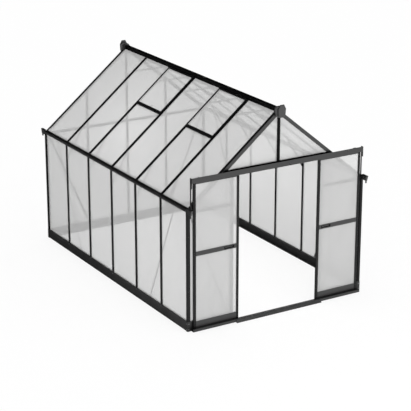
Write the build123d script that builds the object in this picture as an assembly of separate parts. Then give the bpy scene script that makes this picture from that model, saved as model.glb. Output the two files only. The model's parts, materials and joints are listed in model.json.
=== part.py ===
from build123d import *
import math
import os

os.makedirs("parts", exist_ok=True)

# A walk-in greenhouse of twin-wall sheet in an extruded aluminium frame, on a folded steel base, with a pair of
# sliding doors in the front gable and two vents in each roof slope. All sizes are in millimetres. X runs across
# the gables, Y from the front gable to the back one, and Z is up from the ground.

# Plan and heights, to the outer faces of the glazing bars
bay_pitch = 620.0
side_bays = 6
gable_overrun = 6.0
wall_half_width = 1238.0
eaves_height = 1509.0
ridge_height = 2522.0

# Folded steel base
base_height = 124.0
base_depth = 30.0
base_proud = 5.0
base_sheet = 2.0
base_return = 14.0
corner_plate = 6.0
corner_plate_leg = 40.0

# Twin-wall sheet, and the room it has in a bar
sheet = 6.0
sheet_play = 0.3
edge_play = 2.0

# Glazing bars: a cap outside the sheet, a bed inside it and a stiffening fin
cap_width = 44.0
cap_wall = 2.5
bed_width = 32.0
bed_wall = 2.0
web_wall = 3.0
bar_depth = 22.0
fin_foot = 8.0
bar_foot = 6.0

# Hollow edge bars, where two glazed faces meet
edge_tube = 32.0
edge_wall = 2.0
edge_lip = 12.0
corner_proud = 9.0

# Ridge beam and its moulded ends
ridge_half_width = 24.0
ridge_rise = 19.0
ridge_depth = 86.0
ridge_wall = 2.5
ridge_groove = 6.0
ridge_end_depth = 68.0
ridge_end_half_width = 55.0
ridge_end_above = 52.0
ridge_end_below = 17.0
ridge_end_top_half = 28.0
ridge_end_low_half = 50.0
ridge_end_foot_half = 33.0
ridge_end_chamfer = 6.0

# Gutter beams along the eaves, and the spouts at their ends
gutter_wall = 2.5
gutter_drop = 24.0
gutter_lip_height = 25.0
gutter_lip_proud = 16.0
gutter_inner = 60.0
gutter_bead = 8.0
eaves_cap_start = 2.0
eaves_cap_width = 25.0
seat_gap = 0.3
gutter_end_plate = 3.0
spout_width = 30.0
spout_length = 104.0
spout_height = 32.0
spout_wall = 2.5
funnel_top_radius = 14.0
funnel_bottom_radius = 10.0
funnel_drop = 46.0
funnel_setback = 54.0

# Gable ends
quarter_post = 610.0
tie_drop = 33.0
jamb_centre = 636.0
jamb_width = 44.0
jamb_depth = 30.0
lintel_drop = 665.0
lintel_height = 42.0
sill_height = 12.0

# Roof vents
vent_sill_fraction = 0.582
vent_bays = (2, 4)
vent_cap_overlap = 16.0
vent_frame_height = 12.0
vent_side_width = 16.0
vent_sill_width = 44.0
vent_top_width = 24.0
vent_ridge_gap = 6.0
vent_sheet_grip = 10.0
vent_stay_width = 18.0
vent_stay_length = 42.0
vent_stay_depth = 14.0

# Braces and ties inside the glazing
strap = 2.5
strap_width = 20.0
knee_width = 22.0
knee_wall = 3.0
knee_drop = 190.0
knee_run = 250.0
collar_fraction = 0.17
collar_width = 25.0

# Doors
door_overlap = 8.0
door_thickness = 20.0
door_track_gap = 6.0
door_head_gap = 8.0
door_wall_gap = 6.0
door_stay_gap = 26.0
door_meeting_gap = 6.0
stile_width = 33.0
door_lip = 10.0
door_wall = 2.0
top_rail = 36.0
middle_rail = 56.0
middle_rail_height = 965.0
bottom_rail = 91.0
handle_length = 138.0
handle_height = 30.0
handle_depth = 12.0
handle_rim = 3.0
handle_grip = 4.0
handle_inset = 30.0

# Door header, its roller rail and what carries it
header_gap = 13.5
header_drop = 25.0
header_height = 61.0
header_wall = 2.5
header_inset = 35.0
header_top_depth = 8.0
rail_shelf_rise = 1.0
rail_shelf_depth = 27.5
rail_rib_height = 4.0
rail_rib = 2.0
header_cover_half = 740.0
stay_wall = 3.0
stay_width = 23.0
stay_head_drop = 65.0

# Rollers and hangers
roller_radius = 12.0
roller_groove = 2.0
roller_width = 8.0
roller_rim = 1.5
roller_inset = 80.0
running_gap = 0.3
axle_radius = 3.0
axle_play = 0.2
hanger_wall = 3.0
hanger_width = 46.0
guide_length = 40.0
guide_width = 5.0
guide_drop = 13.0

# Bottom track and threshold
track_reach = 23.0
track_bottom = 7.0
track_top = 40.0
track_step = 14.0
track_wall = 2.5
track_end_gap = 5.0
track_slot = 14.0
track_slot_depth = 12.0
threshold_half_length = 612.0
threshold_reach = 22.0
threshold_height = 34.0
threshold_nose = 3.0

# Sizes that follow from those above
half_length = side_bays * bay_pitch / 2
gable_plane = half_length + gable_overrun
ridge_top = ridge_height + ridge_rise
gutter_bottom = eaves_height - gutter_drop
tie_height = eaves_height - tie_drop
roof_angle = math.atan2(ridge_height - eaves_height, wall_half_width)
roof_length = math.hypot(ridge_height - eaves_height, wall_half_width)
sheet_room = sheet + 2 * sheet_play
sheet_outer = cap_wall + sheet_play
bar_side = web_wall / 2 + edge_play
base_outer = wall_half_width + base_proud
base_front = gable_plane + base_proud
door_back = base_front + door_wall_gap
door_front = door_back + door_thickness
header_front = door_front + header_gap + header_wall
header_half_length = wall_half_width - header_inset
lintel_bottom = ridge_height - lintel_drop
door_top = lintel_bottom - door_head_gap
header_bottom = lintel_bottom - header_drop
rail_shelf_height = lintel_bottom + rail_shelf_rise
track_front = header_front + track_reach
track_low_top = track_top - track_step
door_bottom = track_low_top + door_track_gap
strap_face = bar_depth
edge_reach = edge_tube - corner_proud
edge_panel_start = edge_reach + edge_play
rafter_drop = (edge_tube + edge_play) / math.cos(roof_angle)
vent_sill_place = vent_sill_fraction * roof_length


def rectangle(x0, x1, y0, y1):
    """A face from its two corners."""
    return Pos((x0 + x1) / 2, (y0 + y1) / 2) * Rectangle(abs(x1 - x0), abs(y1 - y0))


def outline(points):
    """A face from its corners."""
    return make_face(Polyline(*points, close=True))


def box(x0, x1, y0, y1, z0, z1):
    """A block from its two corners."""
    return Pos((x0 + x1) / 2, (y0 + y1) / 2, (z0 + z1) / 2) * Box(abs(x1 - x0), abs(y1 - y0), abs(z1 - z0))


def along_x(section, x0, x1):
    """A section drawn as (Y, Z), run from x0 to x1."""
    return extrude(Plane(origin=(x0, 0, 0), x_dir=(0, 1, 0), z_dir=(1, 0, 0)) * section, amount=x1 - x0)


def along_y(section, y0, y1):
    """A section drawn as (X, Z), run from y0 to y1."""
    return extrude(Plane(origin=(0, y1, 0), x_dir=(1, 0, 0), z_dir=(0, -1, 0)) * section, amount=y1 - y0)


def along_z(section, z0, z1):
    """A section drawn as (X, Y), run from z0 to z1."""
    return extrude(Plane.XY.offset(z0) * section, amount=z1 - z0)


def run(section, start, end, outward):
    """A section whose +Y faces outward, run from start to end."""
    way = Vector(*end) - Vector(*start)
    across = Vector(*outward).cross(way).normalized()
    plane = Plane(origin=start, x_dir=across, z_dir=way.normalized())
    return extrude(plane * section, amount=way.length)


def both_sides(solids):
    """The solids and their mirror images across the middle of the house."""
    return solids + [mirror(solid, about=Plane.YZ) for solid in solids]


def both_ends(solids):
    """The solids and their mirror images from front to back."""
    return solids + [mirror(solid, about=Plane.XZ) for solid in solids]


def roof_point(distance, normal, y=0.0):
    """A point on the right slope: distance up from the eaves, and height above the roof's outer face."""
    x = wall_half_width - distance * math.cos(roof_angle) + normal * math.sin(roof_angle)
    z = eaves_height + distance * math.sin(roof_angle) + normal * math.cos(roof_angle)
    return (x, y, z)


def roof_height(x):
    """The height of the roof's outer face at a distance x from the middle."""
    return ridge_height - abs(x) * math.tan(roof_angle)


def roof_slab(s0, s1, n0, n1, y0, y1):
    """A flat piece that lies in the right slope."""
    plane = Plane(origin=roof_point(s0, n0, y0), x_dir=(0, 1, 0), z_dir=(math.sin(roof_angle), 0, math.cos(roof_angle)))
    face = rectangle(0, y1 - y0, 0, s1 - s0)
    return extrude(plane * face, amount=n1 - n0)


# Sections
def bar_section():
    """Glazing bar, with its cap's outer face on y = 0."""
    bed_top = -(cap_wall + sheet_room)
    bed_bottom = bed_top - bed_wall
    cap = rectangle(-cap_width / 2, cap_width / 2, -cap_wall, 0)
    web = rectangle(-web_wall / 2, web_wall / 2, -bar_depth, -cap_wall)
    bed = rectangle(-bed_width / 2, bed_width / 2, bed_bottom, bed_top)
    foot = rectangle(-fin_foot / 2, fin_foot / 2, -bar_depth, -bar_depth + bed_wall)
    return cap + web + bed + foot


def edge_section(proud):
    """Hollow edge bar: glazed faces lie on u = 0 and v = 0, and the inside is toward +u and +v."""
    far = edge_tube - proud
    tube = rectangle(-proud, far, -proud, far)
    tube -= rectangle(edge_wall - proud, far - edge_wall, edge_wall - proud, far - edge_wall)
    bed = cap_wall + sheet_room
    for low, high in ((0, cap_wall), (bed, bed + bed_wall)):
        tube += rectangle(far, far + edge_lip, low, high)
        tube += rectangle(low, high, far, far + edge_lip)
    return tube


def base_section(outer, inward):
    """Base rail, open to the inside: its outer face at outer, and the inside toward inward, +1 or -1."""
    inner = outer + inward * base_depth
    web = rectangle(outer, outer + inward * base_sheet, 0, base_height)
    lower = rectangle(outer, inner, 0, base_sheet)
    upper = rectangle(outer, inner, base_height - base_sheet, base_height)
    lower_return = rectangle(inner - inward * base_sheet, inner, 0, base_return)
    upper_return = rectangle(inner - inward * base_sheet, inner, base_height - base_return, base_height)
    return web + lower + upper + lower_return + upper_return


def gutter_section():
    """Eaves beam and gutter of the right side, drawn as (X, Z)."""
    inner = wall_half_width - gutter_inner
    outer = wall_half_width + gutter_lip_proud
    fin_line = roof_height(inner + gutter_wall) - bar_depth / math.cos(roof_angle)
    lip_top = gutter_bottom + gutter_lip_height
    floor = rectangle(inner, outer, gutter_bottom, gutter_bottom + gutter_wall)
    back = rectangle(inner, inner + gutter_wall, gutter_bottom, fin_line - seat_gap)
    lip = rectangle(outer - gutter_wall, outer, gutter_bottom, lip_top)
    bead = rectangle(outer - gutter_bead, outer, lip_top - gutter_wall, lip_top)
    return floor + back + lip + bead


def ridge_section():
    """Ridge beam, drawn as (X, Z)."""
    bottom = ridge_top - ridge_depth
    tube = rectangle(-ridge_half_width, ridge_half_width, bottom, ridge_top)
    hole = rectangle(
        ridge_wall - ridge_half_width,
        ridge_half_width - ridge_wall,
        bottom + ridge_wall,
        ridge_top - 2 * ridge_wall,
    )
    groove = rectangle(-ridge_groove / 2, ridge_groove / 2, ridge_top - ridge_wall, ridge_top)
    return tube - hole - groove


def header_section():
    """Door header with the rollers' rail, drawn as (Y, Z) with the house toward +Y."""
    front = -header_front
    back = front + header_wall
    top = header_bottom + header_height
    fascia = rectangle(front, back, header_bottom, top)
    upper = rectangle(front, front + header_top_depth, top - header_wall, top)
    shelf = rectangle(back, back + rail_shelf_depth - header_wall, rail_shelf_height, rail_shelf_height + header_wall)
    rib_face = back + rail_shelf_depth - header_wall
    rib_foot = rail_shelf_height + header_wall
    rib = rectangle(rib_face - rail_rib, rib_face, rib_foot, rib_foot + rail_rib_height)
    return fascia + upper + shelf + rib


def track_section(slot_centre):
    """Bottom track, drawn as (Y, Z) with the house toward +Y: a lip in front of the doors, and the guides' slot
    in the lower part under them."""
    front = -track_front
    back = -base_front
    lip_back = -door_front - door_track_gap
    slot_front = slot_centre - track_slot / 2
    slot_back = slot_centre + track_slot / 2
    slot_floor = track_low_top - track_slot_depth
    lip = rectangle(front, lip_back, track_bottom, track_top)
    low = rectangle(lip_back, back, track_bottom, track_low_top)
    lip_hollow = rectangle(front + track_wall, lip_back - track_wall, track_bottom + track_wall, track_top - track_wall)
    slot = rectangle(slot_front, slot_back, slot_floor, track_low_top)
    return lip + low - lip_hollow - slot


def door_section(width, start_lip, end_lip, level):
    """A tube with lips for the sheet on one side or both. A stile is drawn as (u, depth from the front face), and
    a level rail as (depth, u)."""
    start = door_lip if start_lip else 0
    end = width - door_lip if end_lip else width

    def block(u0, u1, d0, d1):
        return rectangle(d0, d1, u0, u1) if level else rectangle(u0, u1, d0, d1)

    section = block(start, end, 0, door_thickness)
    section -= block(start + door_wall, end - door_wall, door_wall, door_thickness - door_wall)
    bed = door_wall + sheet_room
    for used, low, high in ((start_lip, 0, start), (end_lip, end, width)):
        if used:
            section += block(low, high, 0, door_wall)
            section += block(low, high, bed, bed + door_wall)
    return section


# Base
base_sides = both_sides([along_y(base_section(base_outer, -1), -base_front, base_front)])
inner_corner = base_outer - base_depth
base_back = [along_x(base_section(base_front, -1), -inner_corner, inner_corner)]
jamb_inner = jamb_centre - jamb_width / 2
base_front_rails = both_sides([along_x(base_section(-base_front, 1), jamb_inner, inner_corner)])
sill_profile = rectangle(-base_front, -base_front + base_depth, 0, sill_height)
sill_hollow = rectangle(
    -base_front + base_sheet, -base_front + base_depth - base_sheet, base_sheet, sill_height - base_sheet
)
door_sill = [along_x(sill_profile - sill_hollow, -jamb_inner, jamb_inner)]

plate_x = base_outer + corner_plate
plate_y = base_front + corner_plate
corner_angle = outline(
    [
        (plate_x, plate_y),
        (plate_x, plate_y - corner_plate_leg),
        (base_outer, plate_y - corner_plate_leg),
        (base_outer, base_front),
        (plate_x - corner_plate_leg, base_front),
        (plate_x - corner_plate_leg, plate_y),
    ]
)
base_corners = both_ends(both_sides([along_z(corner_angle, 0, base_height)]))

# Posts and wall sheets
corner_profile = Pos(wall_half_width, gable_plane) * Rot(0, 0, 180) * edge_section(corner_proud)
corner_posts = both_ends(both_sides([along_z(corner_profile, base_height, gutter_bottom)]))

bar = bar_section()
post_lines = [half_length - bay_pitch * k for k in range(1, side_bays)]
side_wall_posts = both_sides(
    [run(bar, (wall_half_width, y, base_height), (wall_half_width, y, gutter_bottom), (1, 0, 0)) for y in post_lines]
)

sheet_x = wall_half_width - sheet_outer
wall_stops = [gable_plane - edge_reach - edge_play]
for y in post_lines:
    wall_stops += [y + bar_side, y - bar_side]
wall_stops += [edge_reach + edge_play - gable_plane]
right_wall_panels = [
    box(sheet_x - sheet, sheet_x, wall_stops[2 * k + 1], wall_stops[2 * k], base_height, gutter_bottom)
    for k in range(side_bays)
]
left_wall_panels = [mirror(panel, about=Plane.YZ) for panel in right_wall_panels]

# Eaves and gutters
eaves_cap = roof_slab(
    eaves_cap_start, eaves_cap_start + eaves_cap_width, 0, cap_wall, -gable_plane, gable_plane
)
gutter_beams = both_sides([along_y(gutter_section(), -gable_plane, gable_plane), eaves_cap])

gutter_in = wall_half_width - gutter_inner
gutter_out = wall_half_width + gutter_lip_proud
plate_face = outline(
    [
        (gutter_in, gutter_bottom),
        (gutter_out, gutter_bottom),
        (gutter_out, gutter_bottom + gutter_lip_height),
        (wall_half_width, eaves_height),
        (gutter_in, roof_height(gutter_in)),
    ]
)
spout_start = gable_plane + gutter_end_plate
spout_end = spout_start + spout_length
spout_in = gutter_out - spout_width
end_plate = along_y(plate_face, gable_plane, spout_start)
trough = box(spout_in, gutter_out, spout_start, spout_end, gutter_bottom, gutter_bottom + spout_height)
trough -= box(
    spout_in + spout_wall,
    gutter_out - spout_wall,
    gable_plane,
    spout_end - spout_wall,
    gutter_bottom + spout_wall,
    gutter_bottom + spout_height,
)
mouth = box(
    spout_in + spout_wall,
    gutter_out - spout_wall,
    gable_plane,
    spout_start,
    gutter_bottom + spout_wall,
    gutter_bottom + gutter_lip_height - gutter_wall,
)
funnel_place = Pos((spout_in + gutter_out) / 2, spout_start + funnel_setback, gutter_bottom - funnel_drop / 2)
funnel = funnel_place * Cone(funnel_bottom_radius, funnel_top_radius, funnel_drop)
funnel_hole_height = funnel_drop + spout_wall
funnel_hole = Pos(0, 0, spout_wall / 2) * funnel_place * Cone(
    funnel_bottom_radius - spout_wall, funnel_top_radius - spout_wall, funnel_hole_height
)
spout = end_plate - mouth + trough + funnel - funnel_hole
gutter_spouts = both_ends(both_sides([spout]))

# Roof bars, gable rafters and ridge
ridge_room = box(
    -ridge_half_width,
    ridge_half_width,
    -plate_y,
    plate_y,
    gutter_bottom,
    ridge_top + cap_width,
)
roof_out = (math.sin(roof_angle), 0, math.cos(roof_angle))
bar_top = roof_length - ridge_half_width / 2
right_bars = []
for y in post_lines:
    roof_bar = run(bar, roof_point(bar_foot, 0, y), roof_point(bar_top, 0, y), roof_out)
    right_bars.append(roof_bar - ridge_room)
roof_bars = both_sides(right_bars)

gutter_room = box(gutter_in, gutter_out + bar_depth, -plate_y, plate_y, base_height, ridge_height)
rafter = run(
    Rot(0, 0, 180) * edge_section(0),
    roof_point(0, 0, -gable_plane),
    roof_point(bar_top, 0, -gable_plane),
    roof_out,
)
gable_rafters = both_ends(both_sides([rafter - ridge_room - gutter_room]))

ridge_beam = [along_y(ridge_section(), -gable_plane, gable_plane)]
ridge_end_top = ridge_top + ridge_end_above
ridge_end_bottom = ridge_top - ridge_depth - ridge_end_below
ridge_end_shoulder = (ridge_end_top + ridge_end_bottom + ridge_end_above) / 2
ridge_end_face = outline(
    [
        (-ridge_end_top_half, ridge_end_top),
        (ridge_end_top_half, ridge_end_top),
        (ridge_end_half_width, ridge_end_shoulder),
        (ridge_end_low_half, ridge_end_bottom + ridge_end_below),
        (ridge_end_foot_half, ridge_end_bottom),
        (-ridge_end_foot_half, ridge_end_bottom),
        (-ridge_end_low_half, ridge_end_bottom + ridge_end_below),
        (-ridge_end_half_width, ridge_end_shoulder),
    ]
)
ridge_end = along_y(ridge_end_face, -gable_plane - ridge_end_depth, -gable_plane)
ridge_end = chamfer(ridge_end.faces().sort_by(Axis.Y)[0].edges(), ridge_end_chamfer)
ridge_end_caps = both_ends([ridge_end])

# Roof sheets: full length, or up to the sill under a vent
roof_end = gable_plane - edge_tube - edge_play
roof_stops = [roof_end] + wall_stops[1:-1] + [-roof_end]
lower_end = bar_foot + edge_play
sheet_rise = wall_half_width - ridge_half_width - edge_play - (sheet_outer + sheet) * math.sin(roof_angle)
sheet_top = sheet_rise / math.cos(roof_angle)
vent_sheet_top = vent_sill_place - bar_side
right_roof_panels = []
for bay in range(side_bays):
    top = vent_sheet_top if bay in vent_bays else sheet_top
    right_roof_panels.append(
        roof_slab(lower_end, top, -sheet_outer - sheet, -sheet_outer, roof_stops[2 * bay + 1], roof_stops[2 * bay])
    )
left_roof_panels = [mirror(panel, about=Plane.YZ) for panel in right_roof_panels]

# Roof vents, lying on the bars beside them, with a sill across their bay
right_vent_sills = []
right_vent_frames = []
right_vent_panels = []
right_vent_stays = []
vent_low = vent_sill_place - vent_sill_width / 2
vent_high = (wall_half_width - ridge_half_width - vent_ridge_gap) / math.cos(roof_angle)
for bay in vent_bays:
    y_back = post_lines[bay - 1]
    y_front = post_lines[bay]
    y_middle = (y_back + y_front) / 2
    sill = run(
        bar,
        roof_point(vent_sill_place, 0, y_front + cap_width / 2),
        roof_point(vent_sill_place, 0, y_back - cap_width / 2),
        roof_out,
    )
    right_vent_sills.append(sill)
    y0 = y_front + cap_width / 2 - vent_cap_overlap
    y1 = y_back - cap_width / 2 + vent_cap_overlap
    frame = roof_slab(vent_low, vent_high, 0, vent_frame_height, y0, y1)
    opening = (vent_low + vent_sill_width, vent_high - vent_top_width)
    frame -= roof_slab(*opening, 0, vent_frame_height, y0 + vent_side_width, y1 - vent_side_width)
    groove_low = opening[0] - vent_sheet_grip
    groove_high = opening[1] + vent_sheet_grip
    frame -= roof_slab(groove_low, groove_high, cap_wall, cap_wall + sheet_room, y0 + cap_wall, y1 - cap_wall)
    right_vent_frames.append(frame)
    right_vent_panels.append(
        roof_slab(
            groove_low + edge_play,
            groove_high - edge_play,
            cap_wall + sheet_play,
            cap_wall + sheet_play + sheet,
            y0 + cap_wall + edge_play,
            y1 - cap_wall - edge_play,
        )
    )
    stay_low = vent_sill_place + cap_width / 2
    right_vent_stays.append(
        roof_slab(
            stay_low,
            stay_low + vent_stay_length,
            -vent_stay_depth,
            0,
            y_middle - vent_stay_width / 2,
            y_middle + vent_stay_width / 2,
        )
    )
vent_sills = both_sides(right_vent_sills)
vent_frames = both_sides(right_vent_frames)
vent_panels = both_sides(right_vent_panels)
vent_stays = both_sides(right_vent_stays)

# Gable posts, jambs, lintel and ties
ridge_bottom = ridge_top - ridge_depth
lintel_top = lintel_bottom + lintel_height


def gable_post(x, back, bottom, top):
    """A glazing bar standing in a gable."""
    y = gable_plane if back else -gable_plane
    return run(bar, (x, y, bottom), (x, y, top), (0, 1 if back else -1, 0))


lip_drop = (edge_tube + edge_lip) / math.cos(roof_angle)
post_room = along_y(
    outline(
        [
            (ridge_half_width, roof_height(ridge_half_width) - lip_drop),
            (gutter_in, roof_height(gutter_in) - lip_drop),
            (gutter_in, ridge_top),
            (ridge_half_width, ridge_top),
        ]
    ),
    -plate_y,
    plate_y,
)
quarter = gable_post(quarter_post, True, base_height, ridge_top) - post_room
king_back = gable_post(0, True, base_height, ridge_bottom) - post_room - mirror(post_room, about=Plane.YZ)
king_front = gable_post(0, False, lintel_top, ridge_bottom) - post_room - mirror(post_room, about=Plane.YZ)
gable_posts = both_sides([quarter]) + [king_back, king_front]

jamb_face = -gable_plane
jamb_tube = rectangle(jamb_centre - jamb_width / 2, jamb_centre + jamb_width / 2, jamb_face, jamb_face + jamb_depth)
jamb_tube -= rectangle(
    jamb_centre - jamb_width / 2 + edge_wall,
    jamb_centre + jamb_width / 2 - edge_wall,
    jamb_face + edge_wall,
    jamb_face + jamb_depth - edge_wall,
)
jamb = along_z(jamb_tube, base_height, ridge_top) - post_room
door_jambs = both_sides([jamb])

lintel_tube = rectangle(jamb_face, jamb_face + jamb_depth, lintel_bottom, lintel_top)
lintel_tube -= rectangle(
    jamb_face + edge_wall, jamb_face + jamb_depth - edge_wall, lintel_bottom + edge_wall, lintel_top - edge_wall
)
door_lintel = [along_x(lintel_tube, -jamb_inner, jamb_inner)]


def tie(x0, x1, back):
    """A level glazing bar between two posts of a gable, at the height of the eaves."""
    y = gable_plane if back else -gable_plane
    return run(bar, (x0, y, tie_height), (x1, y, tie_height), (0, 1 if back else -1, 0))


jamb_outer = jamb_centre + jamb_width / 2
half_cap = cap_width / 2
wall_ties = both_sides(
    [
        tie(half_cap, quarter_post - half_cap, True),
        tie(quarter_post + half_cap, gutter_in, True) - post_room,
        tie(jamb_outer, gutter_in, False) - post_room,
    ]
)


def gable_sheet(x0, x1, z0, z1, back):
    """A gable sheet, cut to stay under the rafter."""
    face = gable_plane - sheet_outer
    inner = face - sheet
    y0, y1 = (inner, face) if back else (-face, -inner)
    room = along_y(
        outline(
            [
                (ridge_half_width, roof_height(ridge_half_width) - rafter_drop),
                (wall_half_width, roof_height(wall_half_width) - rafter_drop),
                (wall_half_width, ridge_top),
                (ridge_half_width, ridge_top),
            ]
        ),
        -gable_plane,
        gable_plane,
    )
    return box(x0, x1, y0, y1, z0, z1) - room


apex = ridge_bottom - edge_play
corner_edge = wall_half_width - edge_panel_start
gutter_edge = gutter_in - edge_play
above_tie = tie_height + bar_side
below_tie = tie_height - bar_side
ear_start = gutter_in + edge_play
back_wall_panels = both_sides(
    [
        gable_sheet(bar_side, quarter_post - bar_side, base_height, below_tie, True),
        gable_sheet(quarter_post + bar_side, corner_edge, base_height, below_tie, True)
        + gable_sheet(ear_start, corner_edge, below_tie, gutter_bottom, True),
        gable_sheet(bar_side, quarter_post - bar_side, above_tie, apex, True),
        gable_sheet(quarter_post + bar_side, gutter_edge, above_tie, apex, True),
    ]
)
front_wall_panels = both_sides(
    [
        gable_sheet(jamb_outer + edge_play, corner_edge, base_height, below_tie, False)
        + gable_sheet(ear_start, corner_edge, below_tie, gutter_bottom, False),
        gable_sheet(jamb_outer + edge_play, gutter_edge, above_tie, apex, False),
        gable_sheet(bar_side, jamb_inner - edge_play, lintel_top, apex, False),
    ]
)

# Braces and ties
strap_out = wall_half_width - strap_face
strap_in = strap_out - strap
middle_of_first = half_length - bay_pitch / 2
middle_of_second = half_length - 3 * bay_pitch / 2


def slanting_strap(a_bottom, a_top, z_bottom, z_top, width):
    """A strap's outline with level ends, from its lower middle to its upper one."""
    half = width / 2 / math.cos(math.atan2(abs(a_top - a_bottom), z_top - z_bottom))
    return outline(
        [(a_bottom - half, z_bottom), (a_bottom + half, z_bottom), (a_top + half, z_top), (a_top - half, z_top)]
    )


side_strap = slanting_strap(middle_of_second, middle_of_first, base_height, gutter_bottom, strap_width)
side_wall_braces = both_ends(both_sides([along_x(side_strap, strap_in, strap_out)]))

brace_y = gable_plane - strap_face
tube_face = wall_half_width - edge_reach
corner_room = box(tube_face, plate_x, -plate_y, plate_y, base_height, ridge_top)
jamb_side_room = box(0, jamb_outer, -plate_y, -gable_plane + jamb_depth, base_height, ridge_top)
brace_top = tube_face
back_foot = quarter_post + strap_width
front_foot = jamb_outer + strap_width
back_strap = slanting_strap(back_foot, brace_top, base_height, gutter_bottom, strap_width)
front_strap = slanting_strap(front_foot, brace_top, base_height, gutter_bottom, strap_width)
gable_braces = both_sides(
    [
        along_y(back_strap, brace_y - strap, brace_y) - corner_room,
        along_y(front_strap, -brace_y, strap - brace_y) - corner_room - jamb_side_room,
    ]
)

fin_middle = (bar_depth + cap_wall + sheet_room + bed_wall) / 2
knee_low = (wall_half_width - fin_middle, gutter_bottom - knee_drop)
knee_high_x = wall_half_width - knee_run
knee_high = (knee_high_x, roof_height(knee_high_x) - fin_middle / math.cos(roof_angle))


def flat_bar(low, high, width):
    """The outline of a flat bar between two points."""
    length = math.hypot(high[0] - low[0], high[1] - low[1])
    ax = (high[0] - low[0]) / length * width / 2
    az = (high[1] - low[1]) / length * width / 2
    return outline(
        [(low[0] - az, low[1] + ax), (low[0] + az, low[1] - ax), (high[0] + az, high[1] - ax), (high[0] - az, high[1] + ax)]
    )


knee_face = flat_bar(knee_low, knee_high, knee_width)
post_skin = box(wall_half_width - cap_wall - sheet_room - bed_wall, plate_x, -gable_plane, gable_plane, 0, ridge_top)
roof_skin = roof_slab(-cap_width, roof_length, -cap_wall - sheet_room - bed_wall, cap_width, -gable_plane, gable_plane)
knee_braces = []
collar_ties = []
collar_z = ridge_height - collar_fraction * (ridge_height - eaves_height)
bed_depth = cap_wall + sheet_room + bed_wall


def collar_end(z):
    """How far a collar tie reaches from the middle at the height z."""
    return (ridge_height - z) / math.tan(roof_angle) - (bed_depth + edge_play / 2) / math.sin(roof_angle)


collar_low = collar_z - collar_width
collar_face = outline(
    [
        (-collar_end(collar_low), collar_low),
        (collar_end(collar_low), collar_low),
        (collar_end(collar_z), collar_z),
        (-collar_end(collar_z), collar_z),
    ]
)
for y in post_lines:
    knee = along_y(knee_face, y + fin_foot / 2, y + fin_foot / 2 + knee_wall) - post_skin - roof_skin
    knee_braces.append(knee)
    collar_ties.append(along_y(collar_face, y - fin_foot / 2 - knee_wall, y - fin_foot / 2))
knee_braces = both_sides(knee_braces)

# Door header, track and threshold
door_header = [along_x(header_section(), -header_half_length, header_half_length)]
header_top = header_bottom + header_height
cover = box(-header_cover_half, header_cover_half, -header_front, -gable_plane, header_top, header_top + header_wall)
cover += box(
    -jamb_inner,
    jamb_inner,
    -gable_plane - header_wall,
    -gable_plane,
    lintel_bottom + header_wall,
    header_top,
)
header_cover = [cover]

stay_back = -gable_plane - gutter_end_plate
stay_plate = rectangle(stay_back - stay_width, stay_back, gutter_bottom, header_top)
stay_head = rectangle(-header_front, stay_back, header_bottom - stay_head_drop, header_top)
header_stays = both_sides([along_x(stay_plate + stay_head, header_half_length, header_half_length + stay_wall)])

rib_centre = rail_shelf_depth - header_front - rail_rib / 2
track_half_length = plate_x - corner_plate_leg - track_end_gap
door_track = [along_x(track_section(rib_centre), -track_half_length, track_half_length)]
ramp = outline(
    [
        (-track_front, 0),
        (-track_front, threshold_height),
        (-track_front - threshold_nose, threshold_height),
        (-track_front - threshold_reach, threshold_nose),
        (-track_front - threshold_reach, 0),
    ]
)
threshold_ramp = [along_x(ramp, -threshold_half_length, threshold_half_length)]

# Right door, at rest fully open; the left one mirrors it
door_width = jamb_inner - door_meeting_gap / 2 + door_overlap
outer_edge = header_half_length - door_stay_gap
inner_edge = outer_edge - door_width
stile = along_z(door_section(stile_width, False, True, False), door_bottom, door_top)
inner_stile = Pos(inner_edge, -door_front) * stile
outer_stile = Pos(outer_edge, -door_front) * mirror(stile, about=Plane.YZ)
right_stiles = [inner_stile, outer_stile]

rail_start = inner_edge + stile_width
rail_end = outer_edge - stile_width
middle_low = middle_rail_height - middle_rail / 2
bottom_section = Pos(-door_front, door_bottom) * door_section(bottom_rail, False, True, True)
middle_section = Pos(-door_front, middle_low) * door_section(middle_rail, True, True, True)
top_section = Pos(-door_front, door_top - top_rail) * door_section(top_rail, True, False, True)
handle_start = rail_start + handle_inset
handle_end = handle_start + handle_length
handle_low = middle_rail_height - handle_height / 2
handle_high = middle_rail_height + handle_height / 2
handle_back = handle_depth - door_front
handle_room = box(handle_start, handle_end, -door_front, handle_back, handle_low, handle_high)
middle_bar = along_x(middle_section, rail_start, rail_end) - handle_room
right_rails = [
    along_x(bottom_section, rail_start, rail_end),
    middle_bar,
    along_x(top_section, rail_start, rail_end),
]

handle = handle_room - box(
    handle_start + handle_rim,
    handle_end - handle_rim,
    -door_front,
    handle_back - handle_rim,
    handle_low + handle_rim,
    handle_high - handle_rim,
)
handle += box(
    handle_start + handle_rim,
    handle_end - handle_rim,
    -door_front,
    handle_grip - door_front,
    handle_high - handle_rim - handle_grip,
    handle_high - handle_rim,
)
right_handle = [handle]

stile_edge = stile_width - door_lip + edge_play
sheet_front = door_wall + sheet_play - door_front
lower_sheet = box(
    inner_edge + stile_edge,
    outer_edge - stile_edge,
    sheet_front,
    sheet_front + sheet,
    door_bottom + bottom_rail - door_lip + edge_play,
    middle_low + door_lip - edge_play,
)
upper_sheet = box(
    inner_edge + stile_edge,
    outer_edge - stile_edge,
    sheet_front,
    sheet_front + sheet,
    middle_low + middle_rail - door_lip + edge_play,
    door_top - top_rail + door_lip - edge_play,
)
right_sheets = [lower_sheet, upper_sheet]

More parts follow.
